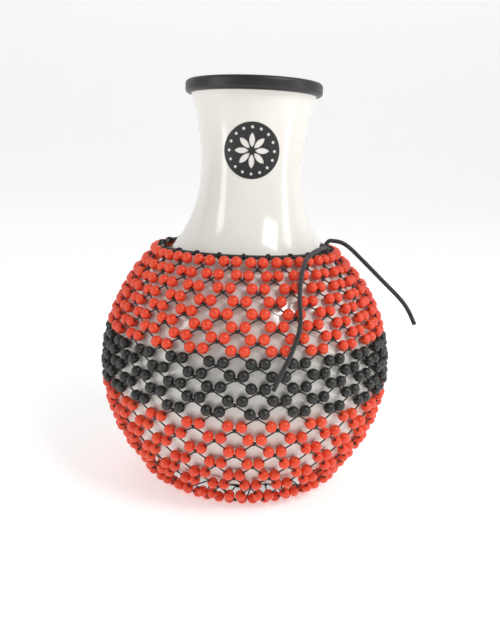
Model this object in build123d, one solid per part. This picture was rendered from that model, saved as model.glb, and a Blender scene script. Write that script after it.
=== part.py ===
"""A shekere: a hollow gourd-shaped shell with a rubber rim, inside a loose net of beads on string.

Millimetres. +Z is up along the shell's axis, z = 0 is the floor, and the front faces -Y.
The net hangs from a cord loop round the neck, and a second loop draws it together under the shell.
Row 0 of the net is the neck loop, rows 1 to ROWS are rows of knots, and row ROWS + 1 is the base loop.
Every knot joins two strings that run up, through one bead each, to the two nearest knots of the row above.
"""
from build123d import *
import os
from math import asin, atan2, cos, pi, radians, sin, sqrt, tan

# Shell, outside sizes
BELLY_RADIUS = 107.7
BELLY_HEIGHT = 95.0          # centre of the round belly
WAIST_RADIUS = 39.1          # narrowest place of the neck
WAIST_HEIGHT = 248.0
MOUTH_HEIGHT = 309.4         # top edge of the shell, under the trim
MOUTH_CURVE = 180.0          # radius of the curve that flares the neck to the mouth
BASE_CURVE = 70.0            # radius of the curve from the belly to the flat base
WALL = 2.6

# Rubber trim on the mouth
TRIM_OUTSIDE = 2.1           # how far it stands out past the shell's edge
TRIM_INSIDE = 1.2            # its thickness inside the mouth, at its lower edge
TRIM_TOP = 2.4
TRIM_DEPTH = 9.6             # its whole height
TRIM_CORNER = 2.8
TRIM_GRIP_GAP = 0.05

# Emblem on the front of the neck
EMBLEM_RADIUS = 20.0
EMBLEM_HEIGHT = 261.0
EMBLEM_THICKNESS = 0.3
DOT_COUNT = 16
DOT_RADIUS = 1.1
DOT_CIRCLE = 16.4
PETAL_COUNT = 8
PETAL_INNER = 2.4
PETAL_OUTER = 12.6
PETAL_HALF_WIDTH = 2.1

# Net
KNOTS = 24                   # in one row
ROWS = 21
BEAD_DIAMETER = 8.0
BEAD_HOLE = 2.0
BEAD_ROOM = 0.2              # least room between two beads of a pair
STRING_DIAMETER = 1.1
KNOT_DIAMETER = 2.8
NET_TURN = 5.0               # azimuth of the first knot of row 1, from the front
STRAND_GROWTH = 0.0164       # how much longer each row's strings are than the row above
FOOT_RADIUS = 77.0           # radius of the last but one row of knots, where the net turns in
SEAT_GAP = 0.3               # between the net and the shell, which turn on each other
TOUCH_GAP = 0.05             # between pieces of the net that touch

# Cords
CORD_DIAMETER = 3.2
NECK_LOOP_RADIUS = 64.0      # at the right, where the loop lies on the shell
NECK_LOOP_SLACK = 2.5        # the loop hangs out by twice this at the left
SLACK_ROWS = 5               # rows of the net that the slack pulls out with it
HITCH_SPREAD = 0.9           # between the two turns of a hitch
FLOOR_GAP = 0.3
KNOT_AZIMUTH = 64.0          # neck knot, from the front towards +X
BASE_KNOT_AZIMUTH = 170.0
KNOT_LUMP_RADIUS = 4.3
KNOT_LIFT = 3.6              # the neck knot's middle stands this far above its cord
TAIL_STUB = 3.0              # straight cord between the knot's last bend and a tail's start

# Free ends of the neck cord: the points of their routes, from where they leave the knot
FRONT_TAIL_ROUTE = [
    (56.6, -36.3, 193.0), (54.3, -41.9, 193.1), (51.2, -47.8, 192.6), (46.6, -54.7, 191.2),
    (41.8, -62.0, 187.8), (39.0, -69.9, 183.1), (37.2, -78.1, 176.7), (36.3, -85.3, 169.6),
    (36.0, -91.8, 161.6), (37.0, -97.0, 153.1), (36.4, -101.8, 144.6), (33.3, -106.7, 135.9),
    (29.3, -110.9, 126.6), (24.1, -114.4, 117.1), (19.9, -116.7, 107.0),
]
SIDE_TAIL_ROUTE = [
    (62.0, -28.0, 197.3), (67.2, -28.3, 197.0), (72.2, -28.7, 195.3), (77.3, -29.2, 191.7),
    (84.0, -29.9, 185.6), (93.0, -30.9, 177.4), (103.8, -32.0, 167.2), (113.6, -32.9, 158.4),
    (120.4, -33.3, 151.2), (125.2, -33.7, 143.7), (128.7, -34.0, 136.3),
]

# Sizes that follow from the ones above
BEAD_RADIUS = BEAD_DIAMETER / 2
STRING_RADIUS = STRING_DIAMETER / 2
KNOT_RADIUS = KNOT_DIAMETER / 2
CORD_RADIUS = CORD_DIAMETER / 2
PITCH = 360 / KNOTS
HALF_PITCH = radians(PITCH / 2)
HITCH_TURN_RADIUS = CORD_RADIUS + TOUCH_GAP + STRING_RADIUS
HITCH_RADIUS = HITCH_TURN_RADIUS + STRING_RADIUS
BASE_LOOP_HEIGHT = FLOOR_GAP + HITCH_RADIUS
BASE_HEIGHT = BASE_LOOP_HEIGHT + HITCH_RADIUS + SEAT_GAP
STRAND_SAG = 0.4             # a straight string dips this far between two knots on the round net
NET_RADIUS = BELLY_RADIUS + SEAT_GAP + BEAD_RADIUS + STRAND_SAG

# The neck below the waist is the one arc that meets both the waist and the belly smoothly.
WAIST_RISE = WAIST_HEIGHT - BELLY_HEIGHT
SHOULDER_CURVE = (WAIST_RADIUS**2 + WAIST_RISE**2 - BELLY_RADIUS**2) / (2 * (BELLY_RADIUS - WAIST_RADIUS))
BASE_CURVE_DROP = BELLY_HEIGHT - BASE_HEIGHT - BASE_CURVE
BASE_FLAT_RADIUS = sqrt((BELLY_RADIUS - BASE_CURVE) ** 2 - BASE_CURVE_DROP**2)


def mouth_radius(height, inward=0.0):
    """Radius of the neck above the waist at a height, a given depth inside the outer surface."""
    rise = height - WAIST_HEIGHT
    return WAIST_RADIUS + MOUTH_CURVE - sqrt((MOUTH_CURVE + inward) ** 2 - rise**2)


def shoulder_height(radius, outward=0.0):
    """Height of the neck below the waist at a radius, a given distance outside the outer surface."""
    return WAIST_HEIGHT - sqrt((SHOULDER_CURVE - outward) ** 2 - (WAIST_RADIUS + SHOULDER_CURVE - radius) ** 2)


def at(radius, height, azimuth=0.0):
    """Point at an azimuth in degrees from the front towards +X."""
    turn = radians(azimuth)
    return Vector(radius * sin(turn), -radius * cos(turn), height)


def section(radius, height):
    """Point of a turned profile, drawn in the XZ plane."""
    return Vector(radius, 0, height)


def arc(centre, radius, start, end):
    """Arc in the XZ plane about centre from angle start to angle end, in radians."""
    points = [centre + Vector(radius * cos(a), 0, radius * sin(a)) for a in (start, (start + end) / 2, end)]
    return ThreePointArc(*points)


def turned(*edges):
    """Solid turned about Z from the closed outline of the edges."""
    return revolve(make_face(Wire(edges)), Axis.Z)


def wall_outline(inward):
    """Edges of the shell's profile, a given depth inside its outer surface, from the base to the mouth."""
    belly = section(0, BELLY_HEIGHT)
    base = section(BASE_FLAT_RADIUS, BASE_HEIGHT + BASE_CURVE)
    shoulder = section(WAIST_RADIUS + SHOULDER_CURVE, WAIST_HEIGHT)
    mouth = section(WAIST_RADIUS + MOUTH_CURVE, WAIST_HEIGHT)
    base_meets_belly = -atan2(BASE_CURVE_DROP, BASE_FLAT_RADIUS)
    belly_meets_neck = atan2(WAIST_RISE, WAIST_RADIUS + SHOULDER_CURVE)
    mouth_angle = pi - asin((MOUTH_HEIGHT - WAIST_HEIGHT) / (MOUTH_CURVE + inward))
    return [
        arc(base, BASE_CURVE - inward, -pi / 2, base_meets_belly),
        arc(belly, BELLY_RADIUS - inward, base_meets_belly, belly_meets_neck),
        arc(shoulder, SHOULDER_CURVE + inward, pi + belly_meets_neck, pi),
        arc(mouth, MOUTH_CURVE + inward, pi, mouth_angle),
    ]


def shell():
    """Hollow gourd-shaped body with a flat base, a waist and a flared open mouth."""
    outside = wall_outline(0)
    inside = wall_outline(WALL)
    rim = Line(outside[-1] @ 1, inside[-1] @ 1)
    floor_outside = Line(section(0, BASE_HEIGHT), outside[0] @ 0)
    floor_inside = Line(section(0, BASE_HEIGHT + WALL), inside[0] @ 0)
    middle = Line(floor_outside @ 0, floor_inside @ 0)
    return turned(floor_outside, *outside, rim, *inside, floor_inside, middle)


def rim_trim():
    """Rubber channel with a rounded outside that grips the edge of the mouth."""
    top = MOUTH_HEIGHT + TRIM_TOP
    low = top - TRIM_DEPTH
    outer = mouth_radius(MOUTH_HEIGHT) + TRIM_OUTSIDE
    inner = mouth_radius(low, WALL) - TRIM_INSIDE
    block = Pos((inner + outer) / 2, 0, (top + low) / 2) * (Rot(90, 0, 0) * RectangleRounded(
        outer - inner, TRIM_DEPTH, TRIM_CORNER))
    ring = revolve(block, Axis.Z)
    slot_top = MOUTH_HEIGHT + TRIM_GRIP_GAP
    slot_low = low - 1
    sides = []
    for depth in (-TRIM_GRIP_GAP, WALL + TRIM_GRIP_GAP):
        curve = MOUTH_CURVE + depth
        ends = [pi - asin((z - WAIST_HEIGHT) / curve) for z in (slot_low, slot_top)]
        sides.append(arc(section(WAIST_RADIUS + MOUTH_CURVE, WAIST_HEIGHT), curve, *ends))
    lower = Line(sides[0] @ 0, sides[1] @ 0)
    upper = Line(sides[0] @ 1, sides[1] @ 1)
    return ring - turned(sides[0], upper, sides[1], lower)


def petal():
    """Pointed oval that reaches outwards from near the emblem's centre."""
    start, end = (PETAL_INNER, 0), (PETAL_OUTER, 0)
    middle = (PETAL_INNER + PETAL_OUTER) / 2
    sides = [ThreePointArc(start, (middle, side * PETAL_HALF_WIDTH), end) for side in (1, -1)]
    return make_face(Wire(sides))


def emblem():
    """Thin round patch that follows the neck, cut through with a rosette and a ring of dots."""
    outline = Circle(EMBLEM_RADIUS)
    outline -= PolarLocations(DOT_CIRCLE, DOT_COUNT) * Circle(DOT_RADIUS)
    outline -= PolarLocations(0, PETAL_COUNT) * petal()
    face = Plane(origin=(0, 0, EMBLEM_HEIGHT), x_dir=(1, 0, 0), z_dir=(0, -1, 0)) * outline
    punch = extrude(face, WAIST_RADIUS + 2 * EMBLEM_RADIUS)
    reach = EMBLEM_RADIUS + 2
    low, high = EMBLEM_HEIGHT - reach, EMBLEM_HEIGHT + reach
    sides = []
    for outward in (TOUCH_GAP, TOUCH_GAP + EMBLEM_THICKNESS):
        upper_curve = MOUTH_CURVE - outward
        lower_curve = SHOULDER_CURVE - outward
        upper = arc(section(WAIST_RADIUS + MOUTH_CURVE, WAIST_HEIGHT), upper_curve,
                    pi, pi - asin((high - WAIST_HEIGHT) / upper_curve))
        lower = arc(section(WAIST_RADIUS + SHOULDER_CURVE, WAIST_HEIGHT), lower_curve,
                    pi + asin((WAIST_HEIGHT - low) / lower_curve), pi)
        sides.append((lower, upper))
    bottom = Line(sides[0][0] @ 0, sides[1][0] @ 0)
    top = Line(sides[0][1] @ 1, sides[1][1] @ 1)
    skin = turned(*sides[0], top, *sides[1], bottom)
    return skin & punch


NECK_LOOP_HEIGHT = shoulder_height(NECK_LOOP_RADIUS, HITCH_RADIUS + SEAT_GAP)


def strand_length(row, first):
    """Length of the strings from a row's knots up to the row above."""
    return first * (1 + STRAND_GROWTH * (row - 1))


def on_net(angle):
    """Radius and height on the round net at an elevation angle about the belly's centre."""
    return NET_RADIUS * cos(angle), BELLY_HEIGHT + NET_RADIUS * sin(angle)


def knot_distance(lower, upper):
    """Straight distance between knots of two neighbouring rows, each a (radius, height)."""
    flat = lower[0] ** 2 + upper[0] ** 2 - 2 * lower[0] * upper[0] * cos(HALF_PITCH)
    return sqrt(flat + (lower[1] - upper[1]) ** 2)


def bisect(is_low, low, high):
    """Value between low and high where is_low turns from true to false."""
    for _ in range(50):
        middle = (low + high) / 2
        if is_low(middle):
            low = middle
        else:
            high = middle
    return (low + high) / 2


def bead_share(row, first, upper_radius):
    """How far up its string a bead sits, as a share of the string: on the knot, clear of its pair."""
    on_knot = (BEAD_RADIUS + KNOT_RADIUS + TOUCH_GAP) / strand_length(row, first)
    clear_of_pair = (BEAD_RADIUS + BEAD_ROOM / 2) / (upper_radius * sin(HALF_PITCH))
    return max(on_knot, clear_of_pair)


def neck_hitch_bar():
    """(radius, height) of the outer side of the neck hitches, which the first strings hang from."""
    out = (WAIST_RADIUS + SHOULDER_CURVE - NECK_LOOP_RADIUS, WAIST_HEIGHT - NECK_LOOP_HEIGHT)
    share = HITCH_TURN_RADIUS / sqrt(out[0] ** 2 + out[1] ** 2)
    return NECK_LOOP_RADIUS + share * out[0], NECK_LOOP_HEIGHT + share * out[1]


def net_rows(first):
    """(radius, height) of the neck hitches, of each row of knots and of the base loop, for the length
    of the first strings. Returns None where the strings are too short to reach the foot of the net."""
    rows = [neck_hitch_bar()]
    last_height = FLOOR_GAP / 2 + KNOT_RADIUS
    share = bead_share(ROWS, first, FOOT_RADIUS)
    foot = (FOOT_RADIUS, last_height + (BEAD_RADIUS - last_height) / share)
    angle = atan2(rows[0][1] - BELLY_HEIGHT, rows[0][0])
    for row in range(1, ROWS - 1):
        length = strand_length(row, first)
        above = rows[-1]
        if knot_distance(on_net(angle), above) > length:
            return None
        angle = bisect(lambda a: knot_distance(on_net(a), above) > length, -pi / 2, angle)
        rows.append(on_net(angle))
        if rows[-1][1] < foot[1]:
            return rows
    if knot_distance(rows[-1], foot) > strand_length(ROWS - 1, first):
        return None
    rows.append(foot)
    for row, height in ((ROWS, last_height), (ROWS + 1, BASE_LOOP_HEIGHT)):
        above = rows[-1]
        length = strand_length(row, first)
        radius = bisect(lambda r: knot_distance((r, height), above) > length, 0, above[0])
        rows.append((radius, height))
    return rows


# The first strings are as short as they can be for the last rows to reach the floor.
FIRST_STRAND = bisect(lambda first: net_rows(first) is None, BEAD_DIAMETER, 4 * BEAD_DIAMETER)
NET = net_rows(FIRST_STRAND + 1e-6)


def slack(row, azimuth):
    """How far a row hangs out from the shell at an azimuth: most at the left, nothing at the right."""
    fade = max(0.0, 1 - row / SLACK_ROWS)
    return NECK_LOOP_SLACK * fade * (1 - sin(radians(azimuth)))


def knot_azimuth(row, index):
    """Azimuth of a knot: each row is half a pitch round from the last."""
    return NET_TURN + PITCH * (index + (0 if row % 2 else 0.5))


def knot_point(row, azimuth):
    """Place of a knot of a row at an azimuth."""
    radius, height = NET[row]
    return at(radius + slack(row, azimuth), height, azimuth)


def knot_above(row, azimuth, side):
    """Place of the knot of the row above that a string from a knot runs up to."""
    return knot_point(row - 1, azimuth + side * PITCH / 2)


def rod(start, end, radius):
    """Round rod from start to end."""
    run = end - start
    return Solid.make_cylinder(radius, run.length, Plane(origin=start, z_dir=run))


def ball(plane, radius):
    """Round ball about a plane's origin, with its seam along the plane's x direction."""
    return Solid.make_sphere(radius, plane, -90, 90, 360)


def string_leg(row, azimuth, side, stand_off):
    """(start, end) of the string from a knot up to the row above, stopped short of what it meets."""
    start = knot_point(row, azimuth)
    run = knot_above(row, azimuth, side) - start
    half_angle = asin(min(1.0, NET[row - 1][0] * sin(HALF_PITCH) / run.length))
    clear_of_pair = (STRING_RADIUS + TOUCH_GAP) / sin(half_angle)
    return start, start + run.normalized() * (run.length - max(stand_off, clear_of_pair))


def round_net(row, make):
    """The row's pieces all round the net: one piece turned round, or each made where slack differs."""
    first = knot_azimuth(row, 0)
    if row > SLACK_ROWS:
        piece = make(first)
        return [piece.rotate(Axis.Z, PITCH * index) for index in range(KNOTS)]
    return [make(first + PITCH * index) for index in range(KNOTS)]


def string_course(row):
    """A row of knots, each with its two strings up to the row above."""
    stand_off = HITCH_RADIUS + TOUCH_GAP if row == 1 else KNOT_RADIUS + TOUCH_GAP

    def knot_with_legs(azimuth):
        legs = [string_leg(row, azimuth, side, stand_off) for side in (-1, 1)]
        ways = [(end - start).normalized() for start, end in legs]
        seam_away = Plane(origin=legs[0][0], x_dir=-(ways[0] + ways[1]), z_dir=ways[0].cross(ways[1]))
        return ball(seam_away, KNOT_RADIUS).fuse(*(rod(*leg, STRING_RADIUS) for leg in legs))

    return round_net(row, knot_with_legs)


BEAD = (Sphere(BEAD_RADIUS) - Cylinder(BEAD_HOLE / 2, 2 * BEAD_DIAMETER)).solid()


def bead_row(row):
    """Two beads above each knot of a row, each threaded on its string."""
    share = bead_share(row, FIRST_STRAND, NET[row - 1][0])

    def bead_pair(azimuth):
        pair = []
        for side in (-1, 1):
            start = knot_point(row, azimuth)
            run = knot_above(row, azimuth, side) - start
            pair.append(BEAD.moved(Plane(origin=start + run * share, z_dir=run).location))
        return Compound(children=pair)

    return [bead for pair in round_net(row, bead_pair) for bead in pair.solids()]


def loop_tangent_plane(loop_centre, point):
    """Plane across a level cord loop at a point of it, with its normal along the cord."""
    outward = point - loop_centre
    return Plane(origin=point, x_dir=outward, z_dir=Vector(0, 0, 1).cross(outward))


def cord_loop(centre, radius):
    """Level closed loop of cord."""
    return Pos(centre) * Torus(radius, CORD_RADIUS)


def hitch(plane):
    """Two turns of string round a cord, joined by the bar that crosses them outside."""
    turn = Torus(HITCH_TURN_RADIUS, STRING_RADIUS)
    turns = [Pos(0, 0, side * HITCH_SPREAD / 2) * turn for side in (-1, 1)]
    return plane * (turns[0] + turns[1])


NECK_LOOP_CENTRE = Vector(-NECK_LOOP_SLACK, 0, NECK_LOOP_HEIGHT)
NECK_LOOP_MEAN = NECK_LOOP_RADIUS + NECK_LOOP_SLACK
BASE_LOOP_CENTRE = Vector(0, 0, BASE_LOOP_HEIGHT)
BASE_LOOP_RADIUS = NET[ROWS + 1][0]


def on_neck_loop(azimuth):
    """Point of the neck loop in the direction of an azimuth."""
    outward = knot_point(0, azimuth) - NECK_LOOP_CENTRE
    outward = Vector(outward.X, outward.Y, 0).normalized()
    return NECK_LOOP_CENTRE + outward * NECK_LOOP_MEAN


def neck_hitches():
    """A hitch on the neck loop over each knot of row 0."""
    azimuths = [knot_azimuth(0, index) for index in range(KNOTS)]
    return [hitch(loop_tangent_plane(NECK_LOOP_CENTRE, on_neck_loop(a))).solid() for a in azimuths]


def base_hitches():
    """A hitch on the base loop under each place where two strings of the last course end."""
    row = ROWS + 1

    def hitch_with_legs(azimuth):
        point = knot_point(row, azimuth)
        turns = hitch(loop_tangent_plane(BASE_LOOP_CENTRE, point)).solid()
        legs = [rod(*string_leg(row, azimuth, side, KNOT_RADIUS + TOUCH_GAP), STRING_RADIUS)
                for side in (-1, 1)]
        core = Pos(BASE_LOOP_CENTRE) * Torus(BASE_LOOP_RADIUS, CORD_RADIUS + TOUCH_GAP)
        return turns.fuse(*legs).cut(core.solid()).solids().sort_by(SortBy.VOLUME)[-1]

    return round_net(row, hitch_with_legs)


def neck_knot_centre():
    """Middle of the neck knot, above its cord."""
    return on_neck_loop(KNOT_AZIMUTH) + Vector(0, 0, KNOT_LIFT)


def tail_stub(route):
    """Cord from the neck knot's middle to where a tail's route starts, with its bend at the knot."""
    start = Vector(*route[0])
    bend = start - (Vector(*route[1]) - start).normalized() * TAIL_STUB
    return [rod(neck_knot_centre(), bend, CORD_RADIUS), ball(Plane(origin=bend), CORD_RADIUS),
            rod(bend, start, CORD_RADIUS)]


def neck_knot():
    """Round lump of the knot that closes the neck loop, with the two stubs that the tails go on from."""
    lump = ball(Plane(origin=neck_knot_centre()), KNOT_LUMP_RADIUS)
    stubs = tail_stub(FRONT_TAIL_ROUTE) + tail_stub(SIDE_TAIL_ROUTE)
    cord = (Pos(NECK_LOOP_CENTRE) * Torus(NECK_LOOP_MEAN, CORD_RADIUS + TOUCH_GAP)).solid()
    return lump.fuse(*stubs).cut(cord)


def base_knot():
    """Knot that closes the base loop: two turns of string round it."""
    point = at(BASE_LOOP_RADIUS, BASE_LOOP_HEIGHT, BASE_KNOT_AZIMUTH)
    return hitch(loop_tangent_plane(BASE_LOOP_CENTRE, point))


def tail(name, route):
    """Free cord end along straight runs joined by tangent arcs as large as the runs allow."""
    points = [Vector(*point) for point in route]
    runs = [(b - a) for a, b in zip(points, points[1:])]
    radii = []
    for before, after in zip(runs, runs[1:]):
        half_turn = radians(before.get_angle(after)) / 2
        radii.append(0.45 * min(before.length, after.length) / tan(half_turn))
    path = FilletPolyline(*points, radius=radii)
    tube = sweep(Plane(origin=points[0], z_dir=runs[0]) * Circle(CORD_RADIUS), path=path)
    expected = pi * CORD_RADIUS**2 * path.length
    print(name, "length", round(path.length, 1), "runs", [round(run.length, 1) for run in runs],
          "radii", [round(radius, 1) for radius in radii], "volume / expected", round(tube.volume / expected, 4))
    return tube


def write(name, pieces):
    """Write one node's solids to its own file."""
    solids = pieces if isinstance(pieces, list) else pieces.solids()
    print(name, len(solids), [round(solid.volume, 1) for solid in solids[:2]])
    export_step(Compound(children=solids) if len(solids) > 1 else solids[0], f"parts/{name}.step")


def main():
    """Build and write every piece."""
    os.makedirs("parts", exist_ok=True)
    print("first strings", round(FIRST_STRAND, 2), "shoulder curve", round(SHOULDER_CURVE, 1),
          "rows", [(round(radius, 1), round(height, 1)) for radius, height in NET])
    write("shell", shell())
    write("rim_trim", rim_trim())
    write("emblem", emblem())
    write("neck_cord", cord_loop(NECK_LOOP_CENTRE, NECK_LOOP_MEAN))
    write("neck_knot", neck_knot())
    write("neck_hitches", neck_hitches())
    write("front_tail", tail("front_tail", FRONT_TAIL_ROUTE))
    write("side_tail", tail("side_tail", SIDE_TAIL_ROUTE))
    write("base_cord", cord_loop(BASE_LOOP_CENTRE, BASE_LOOP_RADIUS))
    write("base_hitches", base_hitches())
    write("base_knot", base_knot())
    for row in range(1, ROWS + 1):
        write(f"bead_row_{row:02d}", bead_row(row))
        write(f"string_course_{row:02d}", string_course(row))


main()
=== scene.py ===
"""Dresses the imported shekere: gourd, rim, beads, knotted strings, cords, light and camera.

Sizes are in the CAD's millimetres and become metres in MeshBatch.build. +Z is up and the front
faces -Y. The net is worked out as in the part: row 0 is the hitches on the neck cord, then come
the rows of knots, and the row after the last is the hitches on the base cord.
"""
import logging
from collections.abc import Callable
from dataclasses import dataclass, field
from enum import Enum
from math import acos, asin, atan2, cos, pi, radians, sin, sqrt

import bmesh
import bpy
import numpy as np
from mathutils import Matrix, Vector

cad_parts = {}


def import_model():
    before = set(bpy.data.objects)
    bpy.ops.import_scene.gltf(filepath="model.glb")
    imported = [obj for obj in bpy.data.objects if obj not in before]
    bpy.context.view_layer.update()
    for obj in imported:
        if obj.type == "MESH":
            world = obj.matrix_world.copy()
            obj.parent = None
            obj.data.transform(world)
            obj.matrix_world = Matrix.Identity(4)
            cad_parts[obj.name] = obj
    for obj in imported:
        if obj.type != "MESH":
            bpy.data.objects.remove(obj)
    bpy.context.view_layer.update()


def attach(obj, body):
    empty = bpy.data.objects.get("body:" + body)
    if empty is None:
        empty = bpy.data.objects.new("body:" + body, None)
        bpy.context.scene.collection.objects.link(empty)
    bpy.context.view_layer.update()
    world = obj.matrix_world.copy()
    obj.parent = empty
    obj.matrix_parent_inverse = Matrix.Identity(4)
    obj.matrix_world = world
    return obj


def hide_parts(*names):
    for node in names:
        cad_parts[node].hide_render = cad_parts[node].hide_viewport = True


LOG = logging.getLogger("shekere")
METRE = 0.001                # metres in a millimetre
UP = np.array((0.0, 0.0, 1.0))

Outline = list[tuple[float, float]]
Route = list[tuple[float, float, float]]
Surface = tuple[np.ndarray, list[tuple[int, ...]]]


class Body(Enum):
    """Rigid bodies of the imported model."""

    GOURD = "gourd"
    NET = "net"


class Pattern(Enum):
    """Kinds of fine surface detail."""

    MOULDED = "moulded"
    RUBBER = "rubber"
    TWISTED = "twisted"
    BRAIDED = "braided"


@dataclass(frozen=True)
class Finish:
    """A procedural material.

    Args:
        name: Name of the material.
        colour: Linear base colour.
        worn: Linear colour of the lighter or dirtier patches.
        roughness: Roughness of the surface.
        pattern: Kind of fine detail.
        scale: Detail size, as noise cycles in a metre.
        bump: Height of the detail in metres.
        coat: Weight of the clear coat.
        sheen: Weight of the sheen of fibres.
    """

    name: str
    colour: tuple[float, float, float]
    worn: tuple[float, float, float]
    roughness: float
    pattern: Pattern
    scale: float
    bump: float
    coat: float = 0.0
    sheen: float = 0.0

    def make(self) -> bpy.types.Material:
        """Build the material.

        Returns:
            The new material.
        """
        material = bpy.data.materials.new(self.name)
        material.use_nodes = True
        nodes, links = material.node_tree.nodes, material.node_tree.links
        shader = nodes["Principled BSDF"]
        shader.inputs["Roughness"].default_value = self.roughness
        shader.inputs["Coat Weight"].default_value = self.coat
        shader.inputs["Coat Roughness"].default_value = 0.06
        shader.inputs["Sheen Weight"].default_value = self.sheen
        place = nodes.new("ShaderNodeTexCoord")
        detail = nodes.new("ShaderNodeGroup")
        detail.node_tree = detail_group(self.pattern)
        detail.inputs["Scale"].default_value = self.scale
        detail.inputs["Colour"].default_value = (*self.colour, 1)
        detail.inputs["Worn"].default_value = (*self.worn, 1)
        bump = nodes.new("ShaderNodeBump")
        bump.inputs["Distance"].default_value = self.bump
        links.new(place.outputs["Object"], detail.inputs["Vector"])
        links.new(detail.outputs["Colour"], shader.inputs["Base Color"])
        links.new(detail.outputs["Height"], bump.inputs["Height"])
        links.new(bump.outputs["Normal"], shader.inputs["Normal"])
        return material


def detail_group(pattern: Pattern) -> bpy.types.NodeTree:
    """Node group that turns a place into a mottled colour and a height.

    Args:
        pattern: Kind of fine detail.

    Returns:
        The group, made once for each pattern.
    """
    if pattern.value in bpy.data.node_groups:
        return bpy.data.node_groups[pattern.value]
    group = bpy.data.node_groups.new(pattern.value, "ShaderNodeTree")
    face = group.interface
    for name, kind in (("Vector", "NodeSocketVector"), ("Scale", "NodeSocketFloat"),
                       ("Colour", "NodeSocketColor"), ("Worn", "NodeSocketColor")):
        face.new_socket(name, in_out="INPUT", socket_type=kind)
    face.new_socket("Colour", in_out="OUTPUT", socket_type="NodeSocketColor")
    face.new_socket("Height", in_out="OUTPUT", socket_type="NodeSocketFloat")
    nodes, links = group.nodes, group.links
    inside, outside = nodes.new("NodeGroupInput"), nodes.new("NodeGroupOutput")
    broad = nodes.new("ShaderNodeTexNoise")
    broad.inputs["Scale"].default_value = 22
    broad.inputs["Detail"].default_value = 3
    mix = nodes.new("ShaderNodeMix")
    mix.data_type = "RGBA"
    patches = nodes.new("ShaderNodeMapRange")
    patches.inputs["From Min"].default_value = 0.45
    patches.inputs["From Max"].default_value = 0.8
    links.new(inside.outputs["Vector"], broad.inputs["Vector"])
    links.new(broad.outputs["Fac"], patches.inputs["Value"])
    links.new(patches.outputs["Result"], mix.inputs["Factor"])
    links.new(inside.outputs["Colour"], mix.inputs["A"])
    links.new(inside.outputs["Worn"], mix.inputs["B"])
    links.new(mix.outputs["Result"], outside.inputs["Colour"])
    if pattern in (Pattern.TWISTED, Pattern.BRAIDED):
        fine = nodes.new("ShaderNodeTexWave")
        fine.wave_profile = "SIN"
        fine.bands_direction = "DIAGONAL"
        fine.inputs["Distortion"].default_value = 2.0 if pattern is Pattern.TWISTED else 6.0
        height = fine.outputs["Fac"]
    else:
        fine = nodes.new("ShaderNodeTexNoise")
        fine.inputs["Detail"].default_value = 2 if pattern is Pattern.MOULDED else 6
        height = fine.outputs["Fac"]
    links.new(inside.outputs["Vector"], fine.inputs["Vector"])
    links.new(inside.outputs["Scale"], fine.inputs["Scale"])
    links.new(height, outside.inputs["Height"])
    return group


SHELL_WHITE = Finish("shell_white", (0.84, 0.815, 0.76), (0.8, 0.77, 0.7), 0.16, Pattern.MOULDED,
                     35, 0.0004, coat=0.6)
RIM_RUBBER = Finish("rim_rubber", (0.012, 0.012, 0.013), (0.03, 0.03, 0.03), 0.42, Pattern.RUBBER,
                    900, 0.0001)
EMBLEM_BLACK = Finish("emblem_black", (0.012, 0.012, 0.012), (0.025, 0.025, 0.025), 0.45,
                      Pattern.RUBBER, 700, 0.00005)
BEAD_RED = Finish("bead_red", (0.80, 0.055, 0.014), (0.86, 0.085, 0.022), 0.33, Pattern.MOULDED,
                  400, 0.00006)
BEAD_BLACK = Finish("bead_black", (0.014, 0.0145, 0.013), (0.03, 0.034, 0.029), 0.36,
                    Pattern.MOULDED, 400, 0.00006)
STRING_BLACK = Finish("string_black", (0.008, 0.008, 0.008), (0.022, 0.02, 0.018), 0.6,
                      Pattern.TWISTED, 600, 0.00015, sheen=0.25)
CORD_BLACK = Finish("cord_black", (0.009, 0.009, 0.009), (0.024, 0.022, 0.02), 0.6,
                    Pattern.BRAIDED, 420, 0.00025, sheen=0.3)

PAPER = Finish("floor", (0.88, 0.88, 0.885), (0.9, 0.9, 0.9), 0.8, Pattern.MOULDED, 10, 0.0)


class MeshBatch:
    """Collects surfaces in millimetres and makes them one object."""

    def __init__(self) -> None:
        """Start with no points."""
        self.points: list[np.ndarray] = []
        self.faces: list[tuple[int, ...]] = []
        self.count = 0

    def add(self, points: np.ndarray, faces: list[tuple[int, ...]]) -> None:
        """Add one surface.

        Args:
            points: Its points, one a row.
            faces: Its faces, as indices of points.
        """
        start = self.count
        self.points.append(points)
        self.faces.extend(tuple(index + start for index in face) for face in faces)
        self.count += len(points)

    def build(self, name: str, material: bpy.types.Material, body: Body, *nodes: str,
              weld: bool = False) -> bpy.types.Object:
        """Make the object, which replaces its CAD nodes.

        Args:
            name: Name of the object.
            material: Its material.
            body: The body that it rides on.
            nodes: CAD nodes that it stands for.
            weld: Whether points at one place become one.

        Returns:
            The new object.
        """
        mesh = bpy.data.meshes.new(name)
        mesh.from_pydata((np.concatenate(self.points) * METRE).tolist(), [], self.faces)
        shape = bmesh.new()
        shape.from_mesh(mesh)
        if weld:
            bmesh.ops.remove_doubles(shape, verts=shape.verts, dist=1e-6)
        bmesh.ops.recalc_face_normals(shape, faces=shape.faces)
        shape.to_mesh(mesh)
        shape.free()
        mesh.shade_smooth()
        mesh.materials.append(material)
        piece = bpy.data.objects.new(name, mesh)
        bpy.context.scene.collection.objects.link(piece)
        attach(piece, body.value)
        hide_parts(*nodes)
        return piece


def unit(vector: np.ndarray) -> np.ndarray:
    """Vector of length 1 in the same direction."""
    return vector / np.linalg.norm(vector)


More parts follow.
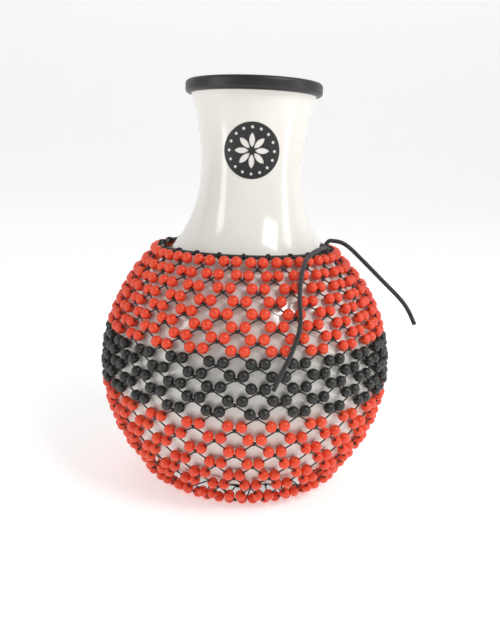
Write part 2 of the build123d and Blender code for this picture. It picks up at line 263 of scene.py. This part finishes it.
def axes(z_dir: np.ndarray, x_hint: np.ndarray) -> np.ndarray:
    """Rotation whose columns are x, y and z.

    Args:
        z_dir: Direction of z.
        x_hint: Direction that x is nearest to.

    Returns:
        The 3 by 3 matrix.
    """
    z = unit(z_dir)
    x = unit(x_hint - z * (x_hint @ z))
    return np.column_stack((x, np.cross(z, x), z))


def grid_faces(rings: int, around: int, closed: bool) -> list[tuple[int, ...]]:
    """Quads that join rings of points.

    Args:
        rings: Number of rings.
        around: Points in each ring.
        closed: Whether the last ring joins the first.

    Returns:
        The faces.
    """
    faces = []
    for ring in range(rings if closed else rings - 1):
        here, there = ring * around, (ring + 1) % rings * around
        for index in range(around):
            after = (index + 1) % around
            faces.append((here + index, here + after, there + after, there + index))
    return faces


def lathe(outline: Outline, steps: int, closed: bool) -> Surface:
    """Surface turned about Z.

    Args:
        outline: (radius, height) of each point of the profile.
        steps: Steps of the turn.
        closed: Whether the profile is closed.

    Returns:
        Points and faces.
    """
    angles = np.linspace(0, 2 * pi, steps, endpoint=False)
    points = [(r * cos(a), r * sin(a), z) for r, z in outline for a in angles]
    return np.array(points), grid_faces(len(outline), steps, closed)


def arc_outline(centre: tuple[float, float], radius: float, start: float, end: float,
                steps: int) -> Outline:
    """Points of an arc of a profile.

    Args:
        centre: (radius, height) of its centre.
        radius: Its radius.
        start: First angle in radians.
        end: Last angle in radians.
        steps: Number of steps.

    Returns:
        The points.
    """
    return [(centre[0] + radius * cos(a), centre[1] + radius * sin(a))
            for a in np.linspace(start, end, steps + 1)]


def tube(path: np.ndarray, radius: float, sides: int, closed: bool = False
         ) -> Surface:
    """Round tube along a path.

    Args:
        path: Points of its middle line, one a row.
        radius: Its radius.
        sides: Points round it.
        closed: Whether the path is a loop.

    Returns:
        Points and faces, with a face over each open end.
    """
    if closed:
        ways = np.roll(path, -1, axis=0) - np.roll(path, 1, axis=0)
    else:
        ways = np.gradient(path, axis=0)
    turns = np.linspace(0, 2 * pi, sides, endpoint=False)
    side = unit(np.cross(ways[0], UP if abs(unit(ways[0])[2]) < 0.9 else np.array((1.0, 0, 0))))
    points = []
    for place, way in zip(path, ways):
        frame = axes(way, side)
        side = frame[:, 0]
        points.extend(place + radius * (cos(t) * frame[:, 0] + sin(t) * frame[:, 1]) for t in turns)
    faces = grid_faces(len(path), sides, closed)
    if not closed:
        last = (len(path) - 1) * sides
        faces += [tuple(range(sides)), tuple(last + index for index in reversed(range(sides)))]
    return np.array(points), faces


def overhand(reach: float, depth: float, radius: float, steps: int, sides: int
             ) -> Surface:
    """Closed three-lobed knot, which looks like a pulled-tight knot when its tube is thick.

    Args:
        reach: Greatest distance of its middle line from Z.
        depth: Greatest distance of its middle line from the XY plane.
        radius: Radius of its tube.
        steps: Steps along it.
        sides: Points round its tube.

    Returns:
        Points and faces.
    """
    t = np.linspace(0, 2 * pi, steps, endpoint=False)
    path = np.column_stack((reach / 3 * (np.sin(t) + 2 * np.sin(2 * t)),
                            reach / 3 * (np.cos(t) - 2 * np.cos(2 * t)), -depth * np.sin(3 * t)))
    return tube(path, radius, sides, closed=True)


@dataclass
class Gourd:
    """Hollow shell, its rim trim and the emblem."""

    belly_radius: float = 107.7
    belly_height: float = 95.0
    waist_radius: float = 39.1
    waist_height: float = 248.0
    mouth_height: float = 309.4
    mouth_curve: float = 180.0
    base_curve: float = 70.0
    base_height: float = 6.1
    wall: float = 2.6
    trim_outside: float = 2.1
    trim_inside: float = 1.2
    trim_top: float = 2.4
    trim_depth: float = 9.6
    trim_corner: float = 2.8
    steps: int = 192

    @property
    def shoulder_curve(self) -> float:
        """Radius of the one arc that meets both the waist and the belly smoothly."""
        rise = self.waist_height - self.belly_height
        spread = self.belly_radius - self.waist_radius
        return (self.waist_radius**2 + rise**2 - self.belly_radius**2) / (2 * spread)

    def mouth_radius(self, height: float, inward: float = 0.0) -> float:
        """Radius of the neck above the waist, a given depth inside its outer surface."""
        rise = height - self.waist_height
        return self.waist_radius + self.mouth_curve - sqrt((self.mouth_curve + inward)**2 - rise**2)

    def shoulder_height(self, radius: float, outward: float) -> float:
        """Height of the neck below the waist, a given distance outside its outer surface."""
        flat = self.waist_radius + self.shoulder_curve - radius
        return self.waist_height - sqrt((self.shoulder_curve - outward)**2 - flat**2)

    def wall_outline(self, inward: float) -> Outline:
        """Profile of the shell from its base to its mouth.

        Args:
            inward: Depth inside the outer surface.

        Returns:
            The points of the profile.
        """
        drop = self.belly_height - self.base_height - self.base_curve
        flat = sqrt((self.belly_radius - self.base_curve)**2 - drop**2)
        low = -atan2(drop, flat)
        high = atan2(self.waist_height - self.belly_height, self.waist_radius + self.shoulder_curve)
        top = asin((self.mouth_height - self.waist_height) / (self.mouth_curve + inward))
        shoulder = (self.waist_radius + self.shoulder_curve, self.waist_height)
        mouth = (self.waist_radius + self.mouth_curve, self.waist_height)
        return [
            *arc_outline((flat, self.base_height + self.base_curve), self.base_curve - inward,
                         -pi / 2, low, 16),
            *arc_outline((0, self.belly_height), self.belly_radius - inward, low, high, 48)[1:],
            *arc_outline(shoulder, self.shoulder_curve + inward, pi + high, pi, 32)[1:],
            *arc_outline(mouth, self.mouth_curve + inward, pi, pi - top, 16)[1:],
        ]

    def trim_outline(self) -> Outline:
        """Rounded profile of the rim trim."""
        top = self.mouth_height + self.trim_top
        low = top - self.trim_depth
        outer = self.mouth_radius(self.mouth_height) + self.trim_outside
        inner = self.mouth_radius(low, self.wall) - self.trim_inside
        corner = self.trim_corner
        corners = ((outer - corner, top - corner, 0), (inner + corner, top - corner, 90),
                   (inner + corner, low + corner, 180), (outer - corner, low + corner, 270))
        return [point for r, z, turn in corners
                for point in arc_outline((r, z), corner, radians(turn), radians(turn + 90), 8)]

    def build(self) -> None:
        """Make the shell and the trim, and dress the emblem."""
        outside = self.wall_outline(0)
        inside = self.wall_outline(self.wall)
        shell = MeshBatch()
        closed = [(0, self.base_height), *outside,
                  *reversed(inside), (0, self.base_height + self.wall)]
        shell.add(*lathe(closed, self.steps, closed=False))
        shell.build("gourd_shell", SHELL_WHITE.make(), Body.GOURD, "shell", weld=True)
        trim = MeshBatch()
        trim.add(*lathe(self.trim_outline(), self.steps, closed=True))
        trim.build("rim_channel", RIM_RUBBER.make(), Body.GOURD, "rim_trim")
        material = EMBLEM_BLACK.make()
        for slot in bpy.data.objects["emblem"].material_slots:
            slot.material = material
        LOG.info("gourd: shell, rim and emblem")


@dataclass
class Net:
    """Net of beads on knotted strings, with the cords at its neck and base."""

    gourd: Gourd
    knots: int = 24
    rows: int = 21
    upper_red: int = 8           # rows 9 to 13 are black
    last_black: int = 13
    bead_radius: float = 4.0
    bead_hole: float = 1.0
    bead_room: float = 0.2
    string_radius: float = 0.55
    knot_radius: float = 1.4
    turn: float = 5.0
    strand_growth: float = 0.0164
    foot_radius: float = 77.0
    seat_gap: float = 0.3
    touch_gap: float = 0.05
    sag: float = 0.4
    cord_radius: float = 1.6
    loop_radius: float = 64.0
    loop_slack: float = 2.5
    slack_rows: int = 5
    hitch_spread: float = 1.0
    floor_gap: float = 0.3
    wobble: float = 0.75         # how far a hand-tied knot is out of place
    wobble_reach: float = 200.0  # height from the belly at which rows are level
    knot_azimuth: float = 64.0
    knot_lift: float = 3.6
    base_knot_azimuth: float = 170.0
    layout: Outline = field(default_factory=list)

    def __post_init__(self) -> None:
        """Work out the rows."""
        self.half_pitch = pi / self.knots
        self.hitch_turn = self.cord_radius + self.touch_gap + self.string_radius
        hitch_reach = self.hitch_turn + self.string_radius
        self.base_loop_height = self.floor_gap + hitch_reach
        self.loop_height = self.gourd.shoulder_height(self.loop_radius, hitch_reach + self.seat_gap)
        self.net_radius = self.gourd.belly_radius + self.seat_gap + self.bead_radius + self.sag
        diameter = 2 * self.bead_radius
        self.first = self.bisect(lambda first: not self.net_rows(first), diameter, 4 * diameter)
        self.layout = self.net_rows(self.first + 1e-6)

    @staticmethod
    def bisect(is_low: Callable[[float], bool], low: float, high: float) -> float:
        """Value where is_low turns from true to false.

        Args:
            is_low: Test of a value.
            low: Value that it holds for.
            high: Value that it doesn't hold for.

        Returns:
            The value between them.
        """
        for _ in range(50):
            middle = (low + high) / 2
            low, high = (middle, high) if is_low(middle) else (low, middle)
        return (low + high) / 2

    def distance(self, lower: tuple[float, float], upper: tuple[float, float]) -> float:
        """Straight distance between knots of two neighbouring rows."""
        across = lower[0]**2 + upper[0]**2 - 2 * lower[0] * upper[0] * cos(self.half_pitch)
        return sqrt(across + (lower[1] - upper[1])**2)

    def strand(self, row: int, first: float) -> float:
        """Length of the strings from a row's knots up to the row above."""
        return first * (1 + self.strand_growth * (row - 1))

    def share(self, row: int, first: float, upper_radius: float) -> float:
        """How far up its string a bead sits: on the knot, clear of its pair."""
        on_knot = (self.bead_radius + self.knot_radius + self.touch_gap) / self.strand(row, first)
        clear = (self.bead_radius + self.bead_room / 2) / (upper_radius * sin(self.half_pitch))
        return max(on_knot, clear)

    def net_rows(self, first: float) -> Outline:
        """Radius and height of every row for a length of the first strings.

        Args:
            first: Length of the strings of row 1.

        Returns:
            (radius, height) of each row, or nothing where the strings are too short.
        """
        def on_net(angle: float) -> tuple[float, float]:
            """Radius and height on the round net at an elevation angle."""
            rise = self.net_radius * sin(angle)
            return self.net_radius * cos(angle), self.gourd.belly_height + rise

        out = (self.gourd.waist_radius + self.gourd.shoulder_curve - self.loop_radius,
               self.gourd.waist_height - self.loop_height)
        step = self.hitch_turn / sqrt(out[0]**2 + out[1]**2)
        rows = [(self.loop_radius + step * out[0], self.loop_height + step * out[1])]
        last = self.floor_gap / 2 + self.knot_radius
        foot_share = self.share(self.rows, first, self.foot_radius)
        foot = (self.foot_radius, last + (self.bead_radius - last) / foot_share)
        angle = atan2(rows[0][1] - self.gourd.belly_height, rows[0][0])
        for row in range(1, self.rows - 1):
            length, above = self.strand(row, first), rows[-1]
            if self.distance(on_net(angle), above) > length:
                return []
            angle = self.bisect(lambda a: self.distance(on_net(a), above) > length,
                                -pi / 2, angle)
            rows.append(on_net(angle))
            if rows[-1][1] < foot[1]:
                return rows
        if self.distance(rows[-1], foot) > self.strand(self.rows - 1, first):
            return []
        rows.append(foot)
        for row, height in ((self.rows, last), (self.rows + 1, self.base_loop_height)):
            above, length = rows[-1], self.strand(row, first)
            radius = self.bisect(lambda r: self.distance((r, height), above) > length,
                                 0, above[0])
            rows.append((radius, height))
        return rows

    def astray(self, row: int, index: int, way: float) -> float:
        """How far a hand-tied knot is out of place, the same in each run.

        Args:
            row: Row of the knot.
            index: Its number in the row.
            way: Number that tells one direction from another.

        Returns:
            Millimetres, either way.
        """
        spin = sin(12.9898 * row + 78.233 * (index % self.knots) + 37.719 * way) * 43758.5453
        return self.wobble * (2 * (spin % 1) - 1)

    def point(self, row: int, index: int) -> np.ndarray:
        """Place of a knot.

        Args:
            row: Its row.
            index: Its number in the row.

        Returns:
            The point.
        """
        radius, height = self.layout[row]
        azimuth = radians(self.turn) + 2 * self.half_pitch * (index + (0 if row % 2 else 0.5))
        radius += self.loop_slack * max(0.0, 1 - row / self.slack_rows) * (1 - sin(azimuth))
        if 0 < row < self.rows - 1:
            azimuth += self.astray(row, index, 1) / radius
            from_belly = abs(height - self.gourd.belly_height)
            height += self.astray(row, index, 2) * (1 - from_belly / self.wobble_reach)
        return np.array((radius * sin(azimuth), -radius * cos(azimuth), height))

    def above(self, row: int, index: int, side: int) -> np.ndarray:
        """Place of the knot above that a string runs up to."""
        if row % 2:
            return self.point(row - 1, index + (0 if side > 0 else -1))
        return self.point(row - 1, index + (1 if side > 0 else 0))

    def outward(self, point: np.ndarray) -> np.ndarray:
        """Direction out of the round net at a point."""
        return unit(point - UP * self.gourd.belly_height)

    def bead(self) -> Surface:
        """One bead about Z, with a lip at each end of its hole."""
        edge = acos(1.25 * self.bead_hole / self.bead_radius)
        outside = arc_outline((0, 0), self.bead_radius, -edge, edge, 12)
        top = self.bead_radius * sin(edge)
        bore = [(self.bead_hole, top - 0.35), (self.bead_hole, 0.35 - top)]
        return lathe(outside + bore, 20, closed=True)

    def add_hitch(self, batch: MeshBatch, centre: np.ndarray, loop_centre: np.ndarray,
                  bar: np.ndarray) -> None:
        """Add two turns of string round a cord, with a knot on their outer side.

        Args:
            batch: Where they are added.
            centre: Point of the cord's middle.
            loop_centre: Centre of the cord's loop.
            bar: Where the strings leave the hitch.
        """
        along = np.cross(UP, unit(centre - loop_centre))
        frame = axes(along, centre - loop_centre)
        for side, lean in ((-0.5, 0.12), (0.5, -0.12)):
            t = np.linspace(0, 2 * pi, 20, endpoint=False)
            path = np.array([centre + frame @ (
                self.hitch_turn * cos(a), self.hitch_turn * sin(a),
                side * self.hitch_spread + lean * sin(a)) for a in t])
            batch.add(*tube(path, self.string_radius, 8, closed=True))
        lump, faces = overhand(0.8, 0.4, self.string_radius, 24, 6)
        batch.add(lump @ axes(unit(bar - centre), UP).T + bar, faces)

    def build_rows(self) -> None:
        """Make the beads and the strings of every row."""
        red, black, string = BEAD_RED.make(), BEAD_BLACK.make(), STRING_BLACK.make()
        bead_points, bead_faces = self.bead()
        for row in range(1, self.rows + 1):
            beads, strings = MeshBatch(), MeshBatch()
            bulk = 1.0 - 0.15 * row / self.rows
            lump, lump_faces = overhand(1.15 * bulk, 0.6, self.string_radius, 30, 6)
            share = self.share(row, self.first, self.layout[row - 1][0])
            for index in range(self.knots):
                knot = self.point(row, index)
                outward = self.outward(knot)
                spin = axes(outward, UP + 0.4 * np.cross(outward, UP) * self.astray(row, index, 3))
                strings.add(lump @ spin.T + knot, lump_faces)
                for side in (-1, 1):
                    upper = self.above(row, index, side)
                    strings.add(*tube(np.linspace(knot, upper, 5), self.string_radius, 7))
                    roll = axes(upper - knot, outward)
                    beads.add(bead_points @ roll.T + knot + share * (upper - knot), bead_faces)
            is_black = self.upper_red < row <= self.last_black
            finish = black if is_black else red
            beads.build(f"beads_{row:02d}", finish, Body.NET, f"bead_row_{row:02d}")
            strings.build(f"strings_{row:02d}", string, Body.NET, f"string_course_{row:02d}")
        LOG.info("net: %d rows of beads and strings", self.rows)

    def build_hitches(self) -> None:
        """Make the hitches on the neck cord and the base cord."""
        string = bpy.data.materials["string_black"]
        neck_centre = np.array((-self.loop_slack, 0, self.loop_height))
        base_centre = UP * self.base_loop_height
        mean = self.loop_radius + self.loop_slack
        neck, base = MeshBatch(), MeshBatch()
        for index in range(self.knots):
            bar = self.point(0, index)
            way = bar - neck_centre
            way[2] = 0
            self.add_hitch(neck, neck_centre + unit(way) * mean, neck_centre, bar)
            end = self.point(self.rows + 1, index)
            self.add_hitch(base, end, base_centre, end + unit(end - base_centre) * self.hitch_turn)
            for side in (-1, 1):
                upper = self.above(self.rows + 1, index, side)
                base.add(*tube(np.linspace(end, upper, 4), self.string_radius, 7))
        neck.build("hitches_neck", string, Body.NET, "neck_hitches")
        base.build("hitches_base", string, Body.NET, "base_hitches")
        tie = MeshBatch()
        azimuth = radians(self.base_knot_azimuth)
        way = np.array((sin(azimuth), -cos(azimuth), 0))
        place = self.layout[self.rows + 1][0] * way + base_centre
        self.add_hitch(tie, place, base_centre, place + way * self.hitch_turn)
        tie.build("tie_base", string, Body.NET, "base_knot")

    def build_cords(self, cord: bpy.types.Material) -> None:
        """Make the neck cord and the base cord.

        Args:
            cord: Their material.
        """
        neck = np.array((-self.loop_slack, 0, self.loop_height))
        for name, node, centre, radius in (
                ("cord_neck", "neck_cord", neck, self.loop_radius + self.loop_slack),
                ("cord_base", "base_cord", UP * self.base_loop_height,
                 self.layout[self.rows + 1][0])):
            t = np.linspace(0, 2 * pi, 160, endpoint=False)
            loop = centre + radius * np.column_stack((np.cos(t), np.sin(t), 0 * t))
            batch = MeshBatch()
            batch.add(*tube(loop, self.cord_radius, 14, closed=True))
            batch.build(name, cord, Body.NET, node)


@dataclass
class Tail:
    """Free end of the neck cord.

    Args:
        name: Name of the piece.
        node: CAD node that it replaces.
        route: Control points of its middle line, the same as the part's.
        length: Its length along the curve; not used.
    """

    name: str
    node: str
    route: Route
    length: float
    lay: str
    radius: float = 1.6

    def build(self, material: bpy.types.Material) -> bpy.types.Object:
        """Args:
            material: Its material.

        Returns:
            The cord.
        """
        data = bpy.data.curves.new(self.name, "CURVE")
        data.dimensions = "3D"
        data.resolution_u = 12
        data.bevel_depth = self.radius * METRE
        data.bevel_resolution = 5
        data.use_fill_caps = True
        spline = data.splines.new("NURBS")
        spline.points.add(len(self.route) - 1)
        for point, place in zip(spline.points, self.route):
            point.co = (*(METRE * value for value in place), 1)
        spline.order_u = 3
        spline.use_endpoint_u = True
        data.materials.append(material)
        piece = bpy.data.objects.new(self.name, data)
        bpy.context.scene.collection.objects.link(piece)
        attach(piece, Body.NET.value)
        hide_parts(self.node)
        return piece


FRONT_TAIL = Tail("tail_front", "front_tail", [
    (56.6, -36.3, 193.0), (54.3, -41.9, 193.1), (51.2, -47.8, 192.6), (46.6, -54.7, 191.2),
    (41.8, -62.0, 187.8), (39.0, -69.9, 183.1), (37.2, -78.1, 176.7), (36.3, -85.3, 169.6),
    (36.0, -91.8, 161.6), (37.0, -97.0, 153.1), (36.4, -101.8, 144.6), (33.3, -106.7, 135.9),
    (29.3, -110.9, 126.6), (24.1, -114.4, 117.1), (19.9, -116.7, 107.0),
], 0.134, "hanging")
SIDE_TAIL = Tail("tail_side", "side_tail", [
    (62.0, -28.0, 197.3), (67.2, -28.3, 197.0), (72.2, -28.7, 195.3), (77.3, -29.2, 191.7),
    (84.0, -29.9, 185.6), (93.0, -30.9, 177.4), (103.8, -32.0, 167.2), (113.6, -32.9, 158.4),
    (120.4, -33.3, 151.2), (125.2, -33.7, 143.7), (128.7, -34.0, 136.3),
], 0.093, "loose")


def build_neck_knot(net: Net, tails: tuple[Tail, ...], cord: bpy.types.Material) -> None:
    """Make the knot of the neck cord, from which the tails go on.

    Args:
        net: The net that the cord holds.
        tails: The free ends.
        cord: Material of the cord.
    """
    azimuth = radians(net.knot_azimuth)
    way = np.array((sin(azimuth), -cos(azimuth), 0))
    centre = way * (net.loop_radius + net.loop_slack)
    centre += (-net.loop_slack, 0, net.loop_height + net.knot_lift)
    centre -= way * 0.2
    knot = MeshBatch()
    lump, faces = overhand(2.9, 1.5, net.cord_radius, 60, 12)
    knot.add(lump @ axes(way + 0.5 * UP, UP).T + centre, faces)
    for tail in tails:
        start, after = (np.array(point) for point in tail.route[:2])
        bend = start - 3 * unit(after - start)
        t = np.linspace(0, 1, 9)[:, None]
        path = (1 - t)**2 * centre + 2 * t * (1 - t) * bend + t**2 * start
        knot.add(*tube(path, net.cord_radius, 14))
    knot.build("knot_neck", cord, Body.NET, "neck_knot")


@dataclass(frozen=True)
class Studio:
    """White floor, soft lights and the photograph's camera, in metres."""

    eye: tuple[float, float, float] = (0.00284, -0.5424, 0.2537)
    pitch: float = 12.503
    roll: float = 2.041
    lens: float = 39.32
    glow: float = 0.42           # light of the paper backdrop itself
    surround: float = 0.38
    aim: tuple[float, float, float] = (0, 0, 0.15)

    def build_camera(self) -> None:
        """Add the camera at the photograph's viewing angle."""
        data = bpy.data.cameras.new("camera")
        data.lens = self.lens
        data.sensor_width = 36
        camera = bpy.data.objects.new("camera", data)
        bpy.context.scene.collection.objects.link(camera)
        pitch, roll = radians(self.pitch), radians(self.roll)
        right, up = Vector((1, 0, 0)), Vector((0, sin(pitch), cos(pitch)))
        columns = (cos(roll) * right + sin(roll) * up, cos(roll) * up - sin(roll) * right,
                   Vector((0, -cos(pitch), sin(pitch))))
        turn = Matrix(columns).transposed().to_4x4()
        camera.matrix_world = Matrix.Translation(self.eye) @ turn
        bpy.context.scene.camera = camera

    def add_light(self, name: str, place: tuple[float, float, float], size: tuple[float, float],
                  power: float) -> None:
        """Add a soft light that points at the object.

        Args:
            name: Its name.
            place: Where it stands.
            size: Its width and height.
            power: Its power in watts.
        """
        data = bpy.data.lights.new(name, "AREA")
        data.shape = "RECTANGLE"
        data.size, data.size_y = size
        data.energy = power
        light = bpy.data.objects.new(name, data)
        bpy.context.scene.collection.objects.link(light)
        light.location = place
        way = Vector(self.aim) - Vector(place)
        light.rotation_euler = way.to_track_quat("-Z", "Y").to_euler()

    def build(self) -> None:
        """Add the floor, the lights and the white surroundings."""
        mesh = bpy.data.meshes.new("floor")
        profile = [(-6.0, 0.0), (2.0, 0.0),
                   *arc_outline((2.0, 1.5), 1.5, -pi / 2, 0, 16), (3.5, 6.0)]
        points = [(x, y, z) for y, z in profile for x in (-9.0, 9.0)]
        faces = [(2 * i, 2 * i + 1, 2 * i + 3, 2 * i + 2) for i in range(len(profile) - 1)]
        mesh.from_pydata(points, [], faces)
        mesh.shade_smooth()
        floor = bpy.data.objects.new("floor", mesh)
        bpy.context.scene.collection.objects.link(floor)
        paper = PAPER.make()
        shader = paper.node_tree.nodes["Principled BSDF"]
        shader.inputs["Emission Color"].default_value = (1, 1, 1, 1)
        shader.inputs["Emission Strength"].default_value = self.glow
        mesh.materials.append(paper)
        world = bpy.data.worlds.new("world")
        world.use_nodes = True
        background = world.node_tree.nodes["Background"]
        background.inputs["Color"].default_value = (1, 1, 1, 1)
        background.inputs["Strength"].default_value = self.surround
        bpy.context.scene.world = world
        self.add_light("key", (0.75, -0.75, 1.25), (0.5, 0.5), 9)
        self.add_light("left", (-1.0, -0.55, 0.5), (0.25, 1.1), 3.0)
        self.add_light("right", (1.0, -0.2, 0.5), (0.25, 1.1), 2.5)
        bpy.context.scene.view_settings.view_transform = "Standard"


def main() -> None:
    """Build every piece in order."""
    logging.basicConfig(level=logging.INFO, format="%(message)s")
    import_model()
    studio = Studio()
    studio.build_camera()
    cord = CORD_BLACK.make()
    tails = (FRONT_TAIL, SIDE_TAIL)
    for tail in tails:
        tail.build(cord)
    gourd = Gourd()
    gourd.build()
    net = Net(gourd)
    net.build_rows()
    net.build_hitches()
    net.build_cords(cord)
    build_neck_knot(net, tails, cord)
    studio.build()


if __name__ == "__main__":
    main()
